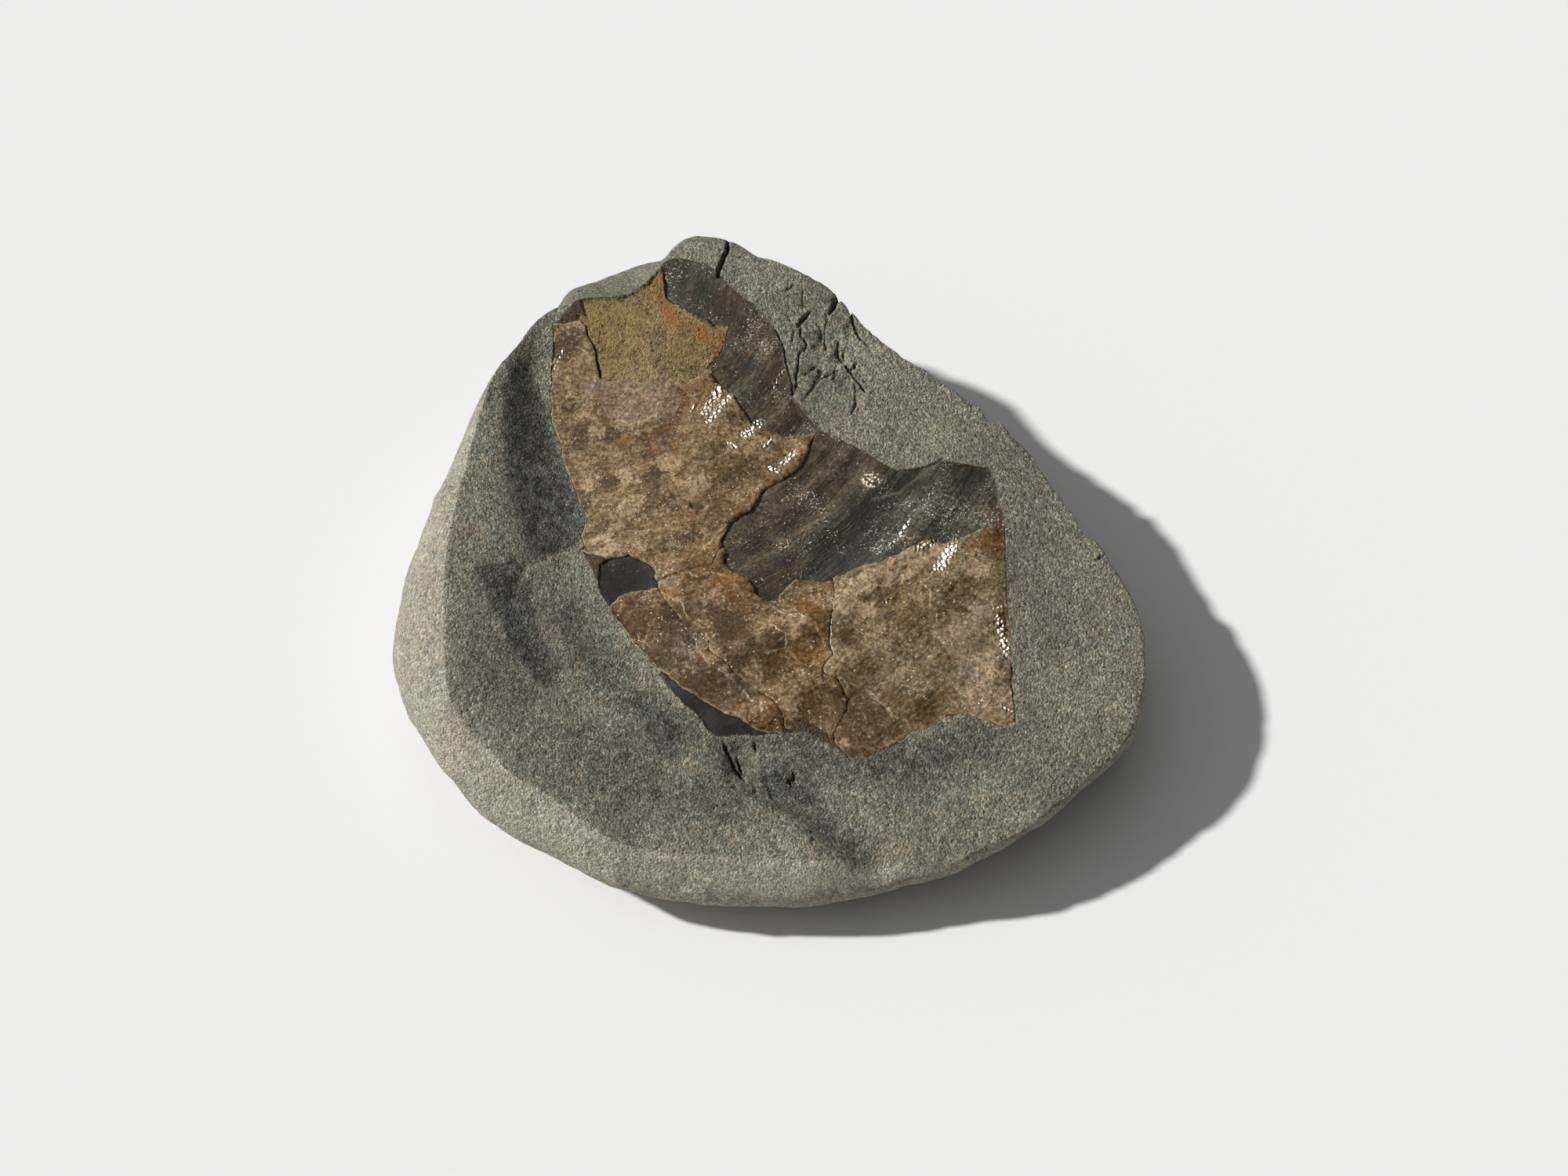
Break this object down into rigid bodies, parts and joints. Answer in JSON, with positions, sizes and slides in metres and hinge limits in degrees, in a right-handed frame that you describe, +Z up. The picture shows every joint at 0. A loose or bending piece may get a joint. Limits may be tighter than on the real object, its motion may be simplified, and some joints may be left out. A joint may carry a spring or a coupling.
{
  "type": "fossil bivalve in a split cobble",
  "caption": "Ribbed fossil clam valve, part shell and part bare mould, lying on the split face of a grey sandstone cobble that rests on a flat spot.",
  "frame": {"origin": "centre of the bounding box in plan, on the surface that the cobble rests on", "axes": "+X to the right of the specimen seen from its front, along its longest side; +Y towards the fossil's beak at the back; +Z up, out of the split face"},
  "size_m": [0.139, 0.1346, 0.0338],
  "materials": {
    "sandstone": "matt, fine sand grain, smoother and lighter on the weathered outside",
    "pale_shell": "glossy calcite shell, pale tan, blotched",
    "brown_shell": "glossy calcite shell, red-brown, blotched",
    "olive_shell": "glossy calcite shell, olive-brown, blotched"
  },
  "bodies": {
    "root": {"stone": "sandstone", "shell_upper": "pale_shell", "shell_middle": "brown_shell", "shell_lower_left": "brown_shell", "shell_right": "olive_shell"}
  },
  "joints": []
}
